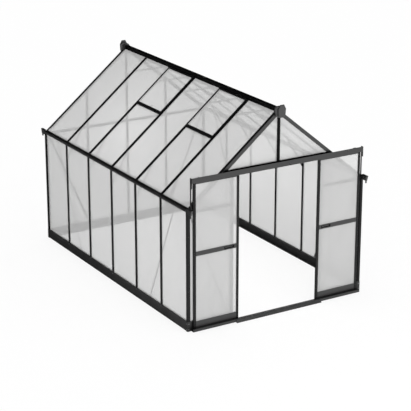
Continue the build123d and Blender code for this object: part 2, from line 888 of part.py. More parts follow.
# Hangers with their axles, rollers on the header's rail, and guides in the track's slot
rib_top = rail_shelf_height + header_wall + rail_rib_height
axle_height = rib_top + running_gap + roller_radius - roller_groove
hanger_face = -door_back - hanger_wall
right_hangers = []
right_rollers = []
for x in (inner_edge + roller_inset, outer_edge - roller_inset):
    x0 = x - hanger_width / 2
    x1 = x + hanger_width / 2
    foot = box(x0, x1, -door_front + hanger_wall, -door_back, door_top, door_top + hanger_wall)
    upright = box(x0, x1, hanger_face, -door_back, door_top, axle_height + roller_radius)
    pin_length = hanger_face - rib_centre + roller_width / 2 + running_gap
    pin = Pos(x, hanger_face - pin_length / 2, axle_height) * Rot(90, 0, 0) * Cylinder(axle_radius, pin_length)
    right_hangers.append(foot + upright + pin)
    guide = box(
        x - guide_length / 2,
        x + guide_length / 2,
        rib_centre - guide_width / 2,
        rib_centre + guide_width / 2,
        door_bottom - guide_drop,
        door_bottom,
    )
    right_hangers.append(guide)
    bore = axle_radius + axle_play
    half_width = roller_width / 2
    wheel_outline = outline(
        [
            (bore, -half_width),
            (roller_radius, -half_width),
            (roller_radius, -half_width + roller_rim),
            (roller_radius - roller_groove, -rail_rib / 2 - running_gap),
            (roller_radius - roller_groove, rail_rib / 2 + running_gap),
            (roller_radius, half_width - roller_rim),
            (roller_radius, half_width),
            (bore, half_width),
        ]
    )
    wheel = revolve(Plane.XZ * wheel_outline, Axis.Z)
    right_rollers.append(Pos(x, rib_centre, axle_height) * Rot(90, 0, 0) * wheel)

nodes = {
    "base_sides": base_sides,
    "base_back": base_back,
    "base_front": base_front_rails,
    "door_sill": door_sill,
    "base_corners": base_corners,
    "corner_posts": corner_posts,
    "side_wall_posts": side_wall_posts,
    "gable_posts": gable_posts,
    "door_jambs": door_jambs,
    "door_lintel": door_lintel,
    "wall_ties": wall_ties,
    "left_wall_panels": left_wall_panels,
    "right_wall_panels": right_wall_panels,
    "back_wall_panels": back_wall_panels,
    "front_wall_panels": front_wall_panels,
    "gutter_beams": gutter_beams,
    "gutter_spouts": gutter_spouts,
    "roof_bars": roof_bars,
    "gable_rafters": gable_rafters,
    "ridge_beam": ridge_beam,
    "ridge_end_caps": ridge_end_caps,
    "left_roof_panels": left_roof_panels,
    "right_roof_panels": right_roof_panels,
    "vent_sills": vent_sills,
    "vent_frames": vent_frames,
    "vent_panels": vent_panels,
    "vent_stays": vent_stays,
    "side_wall_braces": side_wall_braces,
    "gable_braces": gable_braces,
    "knee_braces": knee_braces,
    "collar_ties": collar_ties,
    "door_header": door_header,
    "header_cover": header_cover,
    "header_stays": header_stays,
    "door_track": door_track,
    "threshold_ramp": threshold_ramp,
}
right_door = {
    "stiles": right_stiles,
    "rails": right_rails,
    "panels": right_sheets,
    "handle": right_handle,
    "hangers": right_hangers,
    "rollers": right_rollers,
}
for name, solids in right_door.items():
    nodes["right_door_" + name] = solids
    nodes["left_door_" + name] = [mirror(solid, about=Plane.YZ) for solid in solids]

for name, solids in nodes.items():
    pieces = [piece for solid in solids for piece in solid.solids()]
    export_step(Compound(children=pieces), f"parts/{name}.step")
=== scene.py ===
import itertools
import json
import logging
import math
from dataclasses import dataclass, field
from enum import Enum

import bmesh
import bpy
from mathutils import Euler, Matrix, Vector
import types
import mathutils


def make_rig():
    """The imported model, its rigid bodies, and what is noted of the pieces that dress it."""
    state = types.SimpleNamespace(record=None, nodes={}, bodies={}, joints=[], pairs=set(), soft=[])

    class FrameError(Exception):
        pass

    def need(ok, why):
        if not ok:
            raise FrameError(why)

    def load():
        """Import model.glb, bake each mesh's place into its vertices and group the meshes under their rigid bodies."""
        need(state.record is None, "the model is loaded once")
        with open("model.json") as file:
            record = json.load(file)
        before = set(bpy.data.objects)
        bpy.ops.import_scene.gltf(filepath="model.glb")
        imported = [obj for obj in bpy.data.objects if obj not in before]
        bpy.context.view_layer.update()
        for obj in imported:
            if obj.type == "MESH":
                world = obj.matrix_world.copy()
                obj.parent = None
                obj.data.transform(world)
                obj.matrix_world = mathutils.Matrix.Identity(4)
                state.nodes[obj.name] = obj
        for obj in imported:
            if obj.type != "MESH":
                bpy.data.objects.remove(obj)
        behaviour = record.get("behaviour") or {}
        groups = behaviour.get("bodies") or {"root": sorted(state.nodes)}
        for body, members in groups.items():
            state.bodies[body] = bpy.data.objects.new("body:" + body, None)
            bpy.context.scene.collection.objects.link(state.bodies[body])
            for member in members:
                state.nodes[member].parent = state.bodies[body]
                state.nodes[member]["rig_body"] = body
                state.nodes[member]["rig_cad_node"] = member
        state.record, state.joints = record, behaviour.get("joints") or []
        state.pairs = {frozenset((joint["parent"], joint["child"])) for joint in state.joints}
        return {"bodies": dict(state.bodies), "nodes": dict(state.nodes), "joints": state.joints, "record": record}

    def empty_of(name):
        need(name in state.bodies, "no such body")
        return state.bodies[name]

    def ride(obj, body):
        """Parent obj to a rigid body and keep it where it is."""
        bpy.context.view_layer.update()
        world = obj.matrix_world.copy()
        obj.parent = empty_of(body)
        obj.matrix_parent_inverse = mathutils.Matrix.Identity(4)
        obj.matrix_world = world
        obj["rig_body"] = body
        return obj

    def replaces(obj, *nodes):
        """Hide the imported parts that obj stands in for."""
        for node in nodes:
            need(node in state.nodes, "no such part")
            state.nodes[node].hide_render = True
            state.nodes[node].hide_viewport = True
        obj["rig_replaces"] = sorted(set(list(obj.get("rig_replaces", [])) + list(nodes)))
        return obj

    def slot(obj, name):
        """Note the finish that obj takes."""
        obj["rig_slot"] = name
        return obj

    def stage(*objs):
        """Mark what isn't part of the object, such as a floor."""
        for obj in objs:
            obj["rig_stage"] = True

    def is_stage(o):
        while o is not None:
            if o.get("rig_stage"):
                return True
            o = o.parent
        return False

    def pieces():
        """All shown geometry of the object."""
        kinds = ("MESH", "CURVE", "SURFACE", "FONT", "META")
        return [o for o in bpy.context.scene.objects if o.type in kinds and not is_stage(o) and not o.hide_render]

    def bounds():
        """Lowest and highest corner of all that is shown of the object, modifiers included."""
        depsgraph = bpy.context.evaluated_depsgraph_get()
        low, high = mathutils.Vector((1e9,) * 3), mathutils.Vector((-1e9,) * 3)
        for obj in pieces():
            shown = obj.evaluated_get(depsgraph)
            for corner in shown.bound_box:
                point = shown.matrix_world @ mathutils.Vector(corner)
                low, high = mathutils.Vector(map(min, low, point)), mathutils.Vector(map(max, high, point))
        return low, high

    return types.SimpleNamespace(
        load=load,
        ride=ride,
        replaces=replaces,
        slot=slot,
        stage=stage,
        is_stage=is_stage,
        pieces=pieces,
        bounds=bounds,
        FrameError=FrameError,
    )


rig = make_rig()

LOG = logging.getLogger("greenhouse")
Colour = tuple[float, float, float]
Point = tuple[float, float, float]
Fade = tuple[float, float, float, float]
Pair = tuple[float, float]
Row = tuple[float, ...]
Outline = tuple[Pair, ...]
Material = bpy.types.Material
Piece = bpy.types.Object
Inputs = dict[str | int, object]
Node = bpy.types.Node
Socket = bpy.types.NodeSocket
Tree = bpy.types.NodeTree

# The frame's own places, in metres.
GABLE = 1.866
POST_LINES = (-1.24, -0.62, 0.0, 0.62, 1.24)
EAVES_X = 1.238
EAVES_Z = 1.509
ROOF_RISE = 1.013
ROOF_SLOPE = math.atan2(ROOF_RISE, EAVES_X)

BOTH = (-1, 1)
DOORS = (("left_door", -1), ("right_door", 1))
SIDEWAYS = (1.0, 0.0, 0.0)
BACKWARDS = (0.0, 1.0, 0.0)
FORWARDS = (0.0, -1.0, 0.0)
WHITE = (1.0, 1.0, 1.0)

# The part of the noise's range in which the clouding goes from one tone to the other.
CLOUD_LOW = 0.3
CLOUD_HIGH = 0.7

# The small repeated shapes, the rounded edges and the distance at which doubled corners merge.
SCREW_SIDES = 12
NUT_SIDES = 6
BEAD_SIDES = 8
HEAD_TAPER = 0.72
CROWN_RISE = 0.35
CROWN_WIDTH = 0.62
UPWARD = 0.9
EDGE_STEPS = 2
EDGE_ANGLE = math.radians(30)
MERGE = 1e-5


class Way(Enum):
    """The way that the flutes of a twin-wall sheet are spaced, by the name of its finish."""

    ACROSS_X = "sheet_x"
    ACROSS_Y = "sheet_y"


class Slot(Enum):
    """The record's material slots."""

    FRAME = "frame_coat"
    BASE = "base_steel"
    SHEET = "twin_wall_sheet"
    PLASTIC = "moulded_plastic"
    NYLON = "roller_plastic"
    BRIGHT = "bright_steel"


# ---- node helpers


class Graph:
    """A small hand for building node trees."""

    def __init__(self, tree: Tree) -> None:
        """Takes the tree to build in."""
        self.tree = tree

    def add(self, kind: str, inputs: Inputs | None = None, **values: object) -> Node:
        """Adds a node, sets its properties and fills its inputs.

        Args:
            kind: The node's type name.
            inputs: What goes into each input, by the input's name or number.
            **values: Properties to set on the node.

        Returns:
            The new node.
        """
        node = self.tree.nodes.new(kind)
        for name, value in values.items():
            setattr(node, name, value)
        self.fill(node, inputs or {})
        return node

    def fill(self, node: Node, inputs: Inputs) -> None:
        """Wires sockets to a node's inputs, and sets numbers and colours on them.

        Args:
            node: The node.
            inputs: What goes into each input, by the input's name or number.
        """
        for place, value in inputs.items():
            if isinstance(value, Socket):
                self.tree.links.new(value, node.inputs[place])
            else:
                node.inputs[place].default_value = (*value, 1.0) if isinstance(value, tuple) else value

    def maths(self, operation: str, first: object, second: object) -> Socket:
        """The result of a Math node on two sockets or numbers."""
        return self.add("ShaderNodeMath", {0: first, 1: second}, operation=operation).outputs[0]

    def remap(self, value: Socket, low: float, high: float, start: float, stop: float) -> Socket:
        """A value mapped so that start gives low and stop gives high."""
        limits = {"From Min": start, "From Max": stop, "To Min": low, "To Max": high}
        return self.add("ShaderNodeMapRange", {"Value": value, **limits}).outputs["Result"]

    def choose(self, mask: Socket, first: object, second: object) -> Socket:
        """Blends two values or two colours by a mask.

        Args:
            mask: The socket that chooses between them.
            first: The value or colour at 0.
            second: The value or colour at 1.

        Returns:
            The blend's socket.
        """
        if isinstance(first, tuple):
            return self.add("ShaderNodeMix", {0: mask, 6: first, 7: second}, data_type="RGBA").outputs[2]
        return self.add("ShaderNodeMix", {0: mask, 2: first, 3: second}, data_type="FLOAT").outputs[0]

    def axes(self, source: str) -> dict[str, Socket]:
        """The X, Y and Z of one of the texture coordinates."""
        place = self.add("ShaderNodeTexCoord").outputs[source]
        return self.add("ShaderNodeSeparateXYZ", {0: place}).outputs

    def bump(self, height: Socket, strength: float, distance: float) -> Socket:
        """The normal that a height gives."""
        values = {"Height": height, "Strength": strength, "Distance": distance}
        return self.add("ShaderNodeBump", values).outputs["Normal"]


def surface_group() -> Tree:
    """The grain and clouding that all coated and moulded surfaces share.

    Returns:
        A shader node group with Grain, Cloud and Soil outputs.
    """
    found = bpy.data.node_groups.get("surface_grain")
    if found:
        return found
    tree = bpy.data.node_groups.new("surface_grain", "ShaderNodeTree")
    for name, start in (("Grain Scale", 900.0), ("Cloud Scale", 6.0), ("Soil Height", 0.2)):
        socket = tree.interface.new_socket(name, in_out="INPUT", socket_type="NodeSocketFloat")
        socket.default_value = start
    for name in ("Grain", "Cloud", "Soil"):
        tree.interface.new_socket(name, in_out="OUTPUT", socket_type="NodeSocketFloat")
    g = Graph(tree)
    given = g.add("NodeGroupInput").outputs
    place = g.add("ShaderNodeTexCoord").outputs["Object"]
    fine = g.add("ShaderNodeTexNoise", {"Vector": place, "Scale": given["Grain Scale"], "Detail": 2.0})
    broad = g.add(
        "ShaderNodeTexNoise", {"Vector": place, "Scale": given["Cloud Scale"], "Detail": 4.0, "Roughness": 0.62}
    )
    ratio = g.maths("DIVIDE", g.axes("Object")["Z"], given["Soil Height"])
    near_ground = g.add("ShaderNodeClamp", {0: g.maths("SUBTRACT", 1.0, ratio)}).outputs[0]
    patchy = g.maths("MULTIPLY", near_ground, broad.outputs[0])
    g.add("NodeGroupOutput", {"Grain": fine.outputs[0], "Cloud": broad.outputs[0], "Soil": patchy})
    return tree


def open_material(name: str) -> tuple[Material, Graph, Node]:
    """Starts a material.

    Args:
        name: The material's name.

    Returns:
        The material, its graph and its shader.
    """
    material = bpy.data.materials.new(name)
    material.use_nodes = True
    return material, Graph(material.node_tree), material.node_tree.nodes["Principled BSDF"]


# ---- finishes


@dataclass(frozen=True)
class Coat:
    """A coated or moulded finish with fine grain, faint clouding and a little soil near the ground."""

    name: str
    colour: Colour
    paler: Colour
    roughness: float
    grain_scale: float = 500.0
    grain_depth: float = 0.00005
    metallic: float = 0.0
    specular: float = 0.5
    soil: float = 0.12
    bump: float = 0.35
    unevenness: float = 0.06

    def build(self) -> Material:
        """Makes the material.

        Returns:
            The new material.
        """
        material, g, shader = open_material(self.name)
        surface = g.add("ShaderNodeGroup", {"Grain Scale": self.grain_scale}, node_tree=surface_group())
        cloud = surface.outputs["Cloud"]
        soiled = g.maths("MULTIPLY", surface.outputs["Soil"], self.soil)
        mask = g.maths("ADD", g.remap(cloud, 0.0, 1.0, CLOUD_LOW, CLOUD_HIGH), soiled)
        low, high = self.roughness - self.unevenness, self.roughness + self.unevenness
        spread = g.remap(cloud, low, high, CLOUD_LOW, CLOUD_HIGH)
        g.fill(shader, {
            "Base Color": g.choose(mask, self.colour, self.paler),
            "Roughness": g.maths("ADD", spread, soiled),
            "Metallic": self.metallic,
            "Specular IOR Level": self.specular,
            "Normal": g.bump(surface.outputs["Grain"], self.bump, self.grain_depth),
        })
        return material


@dataclass(frozen=True)
class TwinWall:
    """Clear twin-wall polycarbonate, whose webs blur what is behind it into a pale grey."""

    name: str
    way: Way
    colour: Colour = (0.70, 0.70, 0.698)
    paler: Colour = (0.76, 0.76, 0.758)
    opacity: float = 0.46
    roughness: float = 0.34
    specular: float = 0.35
    flute: float = 0.006
    flute_depth: float = 0.0003
    bump: float = 0.25
    cloud_scale: float = 1.6
    cloud_share: float = 0.6
    flute_share: float = 0.25
    smoother: float = 0.05
    rougher: float = 0.08

    def build(self) -> Material:
        """Makes the material.

        Returns:
            The new material.
        """
        material, g, shader = open_material(self.name)
        along = g.axes("Object")["X" if self.way is Way.ACROSS_X else "Y"]
        phase = g.maths("MULTIPLY", along, 2 * math.pi / self.flute)
        wave = g.remap(g.maths("COSINE", phase, 0.0), 0.0, 1.0, -1.0, 1.0)
        surface = g.add("ShaderNodeGroup", {"Cloud Scale": self.cloud_scale}, node_tree=surface_group())
        cloud = surface.outputs["Cloud"]
        tone = g.maths("MULTIPLY", cloud, self.cloud_share)
        mask = g.maths("ADD", tone, g.maths("MULTIPLY", wave, self.flute_share))
        low, high = self.roughness - self.smoother, self.roughness + self.rougher
        g.fill(shader, {
            "Base Color": g.choose(mask, self.colour, self.paler),
            "Roughness": g.remap(cloud, low, high, CLOUD_LOW, CLOUD_HIGH),
            "Alpha": self.opacity,
            "Specular IOR Level": self.specular,
            "Normal": g.bump(wave, self.bump, self.flute_depth),
        })
        return material


@dataclass
class Finishes:
    """Every finish of the greenhouse, built once."""

    frame: Coat = Coat(
        "black_powder_coat", (0.0030, 0.0031, 0.0032), (0.0055, 0.0056, 0.0058), 0.33, 1400.0, 0.00004, specular=0.95
    )
    # A darker, less glossy copy of the frame coat for the posts, roof bars, ties, stiles and jambs: the coat is the
    # same, and the extra darkness is painted shade.
    slim: Coat = Coat(
        "frame_coat_painted_shade", (0.0016, 0.0017, 0.0018), (0.0030, 0.0031, 0.0033), 0.40, 1400.0, 0.00004, specular=0.32
    )
    # A still darker, duller copy of the frame coat for the gable posts and the ridge beam: the coat is the same, and
    # the extra darkness is painted shade.
    shade: Coat = Coat(
        "frame_coat_painted_deep_shade", (0.0010, 0.0010, 0.0011), (0.0018, 0.0018, 0.0019), 0.58, 1400.0, 0.00004, specular=0.12
    )
    base: Coat = Coat(
        "coated_base_steel", (0.0034, 0.0035, 0.0036), (0.0065, 0.0066, 0.0068), 0.37, 1200.0, specular=0.92, soil=0.3
    )
    plastic: Coat = Coat(
        "moulded_black_plastic", (0.012, 0.012, 0.0122), (0.018, 0.018, 0.0183), 0.38, 700.0, 0.00006, specular=1.0
    )
    # A darker, duller copy of the moulded plastic for the door handles: the extra darkness paints the shade in and
    # around the pull cups.
    grip: Coat = Coat(
        "handle_grip_plastic", (0.003, 0.003, 0.003), (0.005, 0.005, 0.005), 0.62, 500.0, 0.00006, specular=0.2
    )
    # A paler copy of the handle plastic for the floor of the pull cups: the paleness paints the light that falls on
    # the cup's floor.
    liner: Coat = Coat(
        "handle_liner_painted_light", (0.03, 0.03, 0.0305), (0.045, 0.045, 0.0455), 0.4, 700.0, specular=0.9
    )
    # A paler copy of the moulded plastic for the rear bodies of the ridge ends: the paleness paints the light on their
    # lit sides.
    faded: Coat = Coat("moulded_plastic_painted_light", (0.07, 0.07, 0.071), (0.09, 0.09, 0.091), 0.45, 700.0, 0.00006)
    # The header strip's rubber, darker and duller than the bead rubber, so that its black paints the shade along the
    # header cover's top.
    seal: Coat = Coat("header_seal_rubber", (0.0010, 0.0010, 0.0010), (0.0016, 0.0016, 0.0016), 0.85, specular=0.0)
    nylon: Coat = Coat("roller_nylon", (0.008, 0.008, 0.0082), (0.012, 0.012, 0.0122), 0.28, 500.0, 0.00002)
    bright: Coat = Coat(
        "zinc_plated_steel", (0.42, 0.43, 0.45), (0.56, 0.57, 0.58), 0.36, 600.0, 0.00003, metallic=1.0
    )
    rubber: Coat = Coat("seal_rubber", (0.008, 0.008, 0.008), (0.012, 0.012, 0.012), 0.68, specular=0.3)
    sheet_x: TwinWall = TwinWall("twin_wall_gable", Way.ACROSS_X)
    sheet_y: TwinWall = TwinWall("twin_wall_side", Way.ACROSS_Y)
    made: dict[str, Material] = field(default_factory=dict)

    def get(self, name: str) -> Material:
        """The material of a finish, made at its first use.

        Args:
            name: The field's name.

        Returns:
            The material.
        """
        if name not in self.made:
            self.made[name] = getattr(self, name).build()
        return self.made[name]


# ---- pieces


def dress(node: str, material: Material) -> None:
    """Gives a carried-over node its material.

    Args:
        node: The node's name.
        material: The finish.
    """
    piece = FRAME["nodes"][node]
    if not piece.data.materials:
        piece.data.materials.append(material)
    for place in range(len(piece.material_slots)):
        piece.material_slots[place].link = "OBJECT"
        piece.material_slots[place].material = material
    LOG.info("dressed %s in %s", node, material.name)


def into_scene(name: str, data: bpy.types.ID) -> Piece:
    """Puts a mesh, lamp or camera into the scene.

    Args:
        name: The object's name.
        data: The mesh, lamp or camera.

    Returns:
        The object.
    """
    piece = bpy.data.objects.new(name, data)
    bpy.context.scene.collection.objects.link(piece)
    return piece


def grow(carrier: Piece, tree: Tree, values: dict[str, object]) -> None:
    """Runs a geometry node tree on an object and keeps the result as its plain mesh.

    Args:
        carrier: The object.
        tree: The geometry node tree.
        values: The tree's named inputs.
    """
    modifier = carrier.modifiers.new("grow", "NODES")
    modifier.node_group = tree
    for item in tree.interface.items_tree:
        if item.in_out == "INPUT" and item.name in values:
            modifier[item.identifier] = values[item.name]
    graph = bpy.context.evaluated_depsgraph_get()
    mesh = bpy.data.meshes.new_from_object(carrier.evaluated_get(graph))
    mesh.name = carrier.name
    carrier.modifiers.remove(modifier)
    carrier.data = mesh


def roof_point(side: int, y: float, along: float, sunk: float = 0.0) -> Point:
    """A point on a roof slope.

    Args:
        side: -1 for the left slope and 1 for the right one.
        y: Its place along the house.
        along: Its distance up the slope from the eaves.
        sunk: Its depth under the bars' faces.

    Returns:
        The point.
    """
    sine, cosine = math.sin(ROOF_SLOPE), math.cos(ROOF_SLOPE)
    x = EAVES_X - along * cosine - sunk * sine
    return (side * x, y, EAVES_Z + along * sine - sunk * cosine)


def islands(node: str) -> list[list[Vector]]:
    """The corners of each loose solid of a node.

    Args:
        node: The node's name.

    Returns:
        One list of corners for each solid.
    """
    bm = bmesh.new()
    bm.from_mesh(FRAME["nodes"][node].data)
    bmesh.ops.remove_doubles(bm, verts=bm.verts, dist=MERGE)
    bm.verts.ensure_lookup_table()
    seen: set[int] = set()
    found = []
    for vert in bm.verts:
        if vert.index in seen:
            continue
        stack, part = [vert], []
        seen.add(vert.index)
        while stack:
            here = stack.pop()
            part.append(here.co.copy())
            for edge in here.link_edges:
                other = edge.other_vert(here)
                if other.index not in seen:
                    seen.add(other.index)
                    stack.append(other)
        found.append(part)
    bm.free()
    return found


@dataclass
class Placed:
    """One copy of a repeated shape: where it is, how it is turned and how far it is stretched."""

    at: Vector
    turn: Euler
    stretch: Vector = field(default_factory=lambda: Vector((1.0, 1.0, 1.0)))


class Maker:
    """A small hand for closed meshes that end up as one piece on a body."""

    def __init__(self, name: str) -> None:
        """Takes the piece's name."""
        self.name = name
        self.bm = bmesh.new()

    def stack(self, rings: list[list[Point]], loop: bool = False) -> None:
        """Joins rings of equal length into one closed shell.

        Args:
            rings: The rings, in order.
            loop: True where the last ring joins the first, and False where both ends are capped.
        """
        rows = [[self.bm.verts.new(point) for point in ring] for ring in rings]
        pairs = list(zip(rows, rows[1:]))
        if loop:
            pairs.append((rows[-1], rows[0]))
        else:
            self.bm.faces.new(rows[0])
            self.bm.faces.new(rows[-1])
        for low, high in pairs:
            for here in range(len(low)):
                there = (here + 1) % len(low)
                self.bm.faces.new((low[here], low[there], high[there], high[here]))

    def finish(self, body: str, slot: Slot, material: Material, edge: float = 0.0) -> Piece:
        """Makes the piece.

        Args:
            body: The body that it rides on.
            slot: The record's slot.
            material: The finish.
            edge: The width of its rounded edges, or 0.

        Returns:
            The finished piece.
        """
        bmesh.ops.recalc_face_normals(self.bm, faces=self.bm.faces)
        mesh = bpy.data.meshes.new(self.name)
        self.bm.to_mesh(mesh)
        self.bm.free()
        mesh.materials.append(material)
        piece = into_scene(self.name, mesh)
        if edge:
            bevel = piece.modifiers.new("edges", "BEVEL")
            bevel.width = edge
            bevel.segments = EDGE_STEPS
            bevel.limit_method = "ANGLE"
            bevel.angle_limit = EDGE_ANGLE
        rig.ride(piece, body)
        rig.slot(piece, slot.value)
        LOG.info("%s: %d faces", self.name, len(mesh.polygons))
        return piece


def round_corners(low: Pair, high: Pair, radius: float, steps: int = 6) -> list[Pair]:
    """A rectangle with rounded corners; a radius of half its side gives a circle.

    Args:
        low: Its lowest corner.
        high: Its highest corner.
        radius: The radius of its corners.
        steps: The points on each corner.

    Returns:
        The points in order.
    """
    found = []
    corners = ((high[0], high[1], 0), (low[0], high[1], 1), (low[0], low[1], 2), (high[0], low[1], 3))
    for x, y, quarter in corners:
        middle_x = x - radius if x == high[0] else x + radius
        middle_y = y - radius if y == high[1] else y + radius
        for step in range(steps):
            angle = (quarter + step / (steps - 1)) * math.pi / 2
            found.append((middle_x + radius * math.cos(angle), middle_y + radius * math.sin(angle)))
    return found


@dataclass
class Repeat:
    """Copies of one small shape, set on points by a geometry node tree."""

    name: str
    body: str
    slot: Slot
    material: Material
    places: list[Placed] = field(default_factory=list)

    def points(self) -> Piece:
        """A mesh of bare points with each copy's turn and stretch.

        Returns:
            The object that carries the points.
        """
        mesh = bpy.data.meshes.new(self.name)
        mesh.from_pydata([p.at for p in self.places], [], [])
        turn = mesh.attributes.new("turn", "FLOAT_VECTOR", "POINT")
        stretch = mesh.attributes.new("stretch", "FLOAT_VECTOR", "POINT")
        turn.data.foreach_set("vector", [x for p in self.places for x in p.turn])
        stretch.data.foreach_set("vector", [x for p in self.places for x in p.stretch])
        return into_scene(self.name, mesh)

    def grow(self, tree: Tree, sizes: dict[str, float]) -> Piece:
        """Runs the tree on the points and keeps the result as a plain mesh.

        Args:
            tree: The geometry node tree.
            sizes: The tree's named inputs.

        Returns:
            The finished piece.
        """
        carrier = self.points()
        grow(carrier, tree, {**sizes, "Finish": self.material})
        mesh = carrier.data
        for name in ("turn", "stretch"):
            if name in mesh.attributes:
                mesh.attributes.remove(mesh.attributes[name])
        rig.ride(carrier, self.body)
        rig.slot(carrier, self.slot.value)
        LOG.info("%s: %d copies, %d faces", self.name, len(self.places), len(mesh.polygons))
        return carrier


class Shape(Enum):
    """The small shapes that are set on points."""

    WEB = "web"
    SCREW = "screw"
    NUT = "nut"


def open_tree(name: str, sizes: dict[str, float]) -> tuple[Graph, dict[str, Socket]]:
    """Starts a geometry node tree with named sizes and a finish.

    Args:
        name: The tree's name.
        sizes: The name and the usual value of each size.

    Returns:
        The graph and what it is given.
    """
    tree = bpy.data.node_groups.new(name, "GeometryNodeTree")
    face = tree.interface
    face.new_socket("Geometry", in_out="INPUT", socket_type="NodeSocketGeometry")
    face.new_socket("Geometry", in_out="OUTPUT", socket_type="NodeSocketGeometry")
    for label, usual in sizes.items():
        face.new_socket(label, in_out="INPUT", socket_type="NodeSocketFloat").default_value = usual
    face.new_socket("Finish", in_out="INPUT", socket_type="NodeSocketMaterial")
    g = Graph(tree)
    return g, g.add("NodeGroupInput").outputs


def close_tree(g: Graph, geometry: Socket, finish: Socket) -> Tree:
    """Ends a geometry node tree: its copies are made real and get their finish.

    Args:
        g: The tree's graph.
        geometry: The copies.
        finish: The finish.

    Returns:
        The tree.
    """
    real = g.add("GeometryNodeRealizeInstances", {0: geometry}).outputs[0]
    done = g.add("GeometryNodeSetMaterial", {"Geometry": real, "Material": finish}).outputs[0]
    g.add("NodeGroupOutput", {"Geometry": done})
    return g.tree


def repeat_tree(shape: Shape) -> Tree:
    """A geometry node tree that sets one small shape on every point.

    Args:
        shape: The shape.

    Returns:
        The tree.
    """
    name = f"repeat_{shape.value}"
    found = bpy.data.node_groups.get(name)
    if found:
        return found
    g, given = open_tree(name, {"Width": 0.01, "Depth": 0.01, "Height": 1.0})
    depth = given["Depth"]
    if shape is Shape.WEB:
        size = g.add("ShaderNodeCombineXYZ", {"X": given["Width"], "Y": depth, "Z": given["Height"]})
        model = g.add("GeometryNodeMeshCube", {"Size": size.outputs[0]}).outputs["Mesh"]
    else:
        half = g.maths("MULTIPLY", given["Width"], 0.5)
        top = half if shape is Shape.NUT else g.maths("MULTIPLY", half, HEAD_TAPER)
        sides = NUT_SIDES if shape is Shape.NUT else SCREW_SIDES
        body = g.add(
            "GeometryNodeMeshCone",
            {"Vertices": sides, "Radius Bottom": half, "Radius Top": top, "Depth": depth},
            fill_type="NGON",
        )
        normal = g.add("GeometryNodeInputNormal").outputs[0]
        upward = g.add("ShaderNodeSeparateXYZ", {0: normal}).outputs["Z"]
        chosen = g.add("FunctionNodeCompare", {0: upward, 1: UPWARD}, data_type="FLOAT", operation="GREATER_THAN")
        crown = g.add(
            "GeometryNodeExtrudeMesh",
            {
                "Mesh": body.outputs["Mesh"],
                "Selection": chosen.outputs[0],
                "Offset Scale": g.maths("MULTIPLY", depth, CROWN_RISE),
            },
            mode="FACES",
        ).outputs
        narrow = {"Geometry": crown["Mesh"], "Selection": crown["Top"], "Scale": CROWN_WIDTH}
        model = g.add("GeometryNodeScaleElements", narrow).outputs["Geometry"]
    read = {}
    for label in ("turn", "stretch"):
        node = g.add("GeometryNodeInputNamedAttribute", {"Name": label}, data_type="FLOAT_VECTOR")
        read[label] = next(s for s in node.outputs if s.enabled and s.name == "Attribute")
    turned = g.add("FunctionNodeEulerToRotation", {0: read["turn"]}).outputs[0]
    copies = g.add(
        "GeometryNodeInstanceOnPoints",
        {"Points": given["Geometry"], "Instance": model, "Rotation": turned, "Scale": read["stretch"]},
    )
    return close_tree(g, copies.outputs[0], given["Finish"])


def bead_tree() -> Tree:
    """A geometry node tree that turns every edge of a wire mesh into a closed round bead.

    Returns:
        The tree.
    """
    g, given = open_tree("follow_bead", {"Radius": 0.0015})
    lines = g.add("GeometryNodeMeshToCurve", {"Mesh": given["Geometry"]}).outputs["Curve"]
    ring = g.add("GeometryNodeCurvePrimitiveCircle", {"Resolution": BEAD_SIDES, "Radius": given["Radius"]})
    round_bead = {"Curve": lines, "Profile Curve": ring.outputs["Curve"], "Fill Caps": True}
    return close_tree(g, g.add("GeometryNodeCurveToMesh", round_bead).outputs["Mesh"], given["Finish"])


@dataclass
class Flutes:
    """The webs of the twin-wall sheets, as fine ribs on both faces."""

    finishes: Finishes
    pitch: float = 0.010
    web: float = 0.0009
    proud: float = 0.00012
    deep: float = 0.0003
    margin: float = 0.004
    end_gap: float = 0.001
    slanted: float = 0.05

    def sheet_places(self, corners: list[Vector], across: Vector, along: Vector) -> list[Placed]:
        """Where the webs of one flat sheet stand.

        Args:
            corners: The sheet's corners.
            across: The direction in which the webs are spaced.
            along: The direction in which they run.

        Returns:
            One place for each web.
        """
        out = along.cross(across).normalized()
        depths = [c.dot(out) for c in corners]
        middle = (min(depths) + max(depths)) / 2
        thick = max(depths) - min(depths)
        flat = [(c.dot(across), c.dot(along)) for c in corners]
        low, high = min(p[0] for p in flat), max(p[0] for p in flat)
        count = int((high - low - 2 * self.margin) / self.pitch)
        first = (low + high) / 2 - count * self.pitch / 2
        turn = Matrix((across, out, along)).transposed().to_euler()
        found = []
        for k in range(count + 1):
            u = first + k * self.pitch
            hits = []
            for i, (u0, v0) in enumerate(flat):
                for u1, v1 in flat[i + 1 :]:
                    if (u0 - u) * (u1 - u) < 0:
                        hits.append(v0 + (v1 - v0) * (u - u0) / (u1 - u0))
            if len(hits) < 2:
                continue
            bottom, top = min(hits), max(hits)
            at = across * u + along * (bottom + top) / 2 + out * middle
            lift = out * (thick / 2 + self.proud - self.deep / 2)
            for face in (at + lift, at - lift):
                found.append(Placed(face, turn, Vector((1.0, self.deep, top - bottom - 2 * self.end_gap))))
        return found

    def build(self, node: str, body: str, way: Way) -> None:
        """Makes the webs of a node's sheets.

        Args:
            node: The node of sheets.
            body: The body that they ride on.
            way: How the webs are spaced.
        """
        work = Repeat(f"{node}_flutes", body, Slot.SHEET, self.finishes.get(way.value))
        for corners in islands(node):
            across = Vector((1, 0, 0)) if way is Way.ACROSS_X else Vector((0, 1, 0))
            low, high = min(corners, key=lambda c: c.z), max(corners, key=lambda c: c.z)
            along = Vector((0, 0, 1))
            if way is Way.ACROSS_Y and abs(high.x - low.x) > self.slanted:
                side = 1 if low.x > 0 else -1
                along = Vector((-side * math.cos(ROOF_SLOPE), 0, math.sin(ROOF_SLOPE)))
            work.places += self.sheet_places(corners, across, along)
        work.grow(repeat_tree(Shape.WEB), {"Width": self.web, "Depth": 1.0, "Height": 1.0})


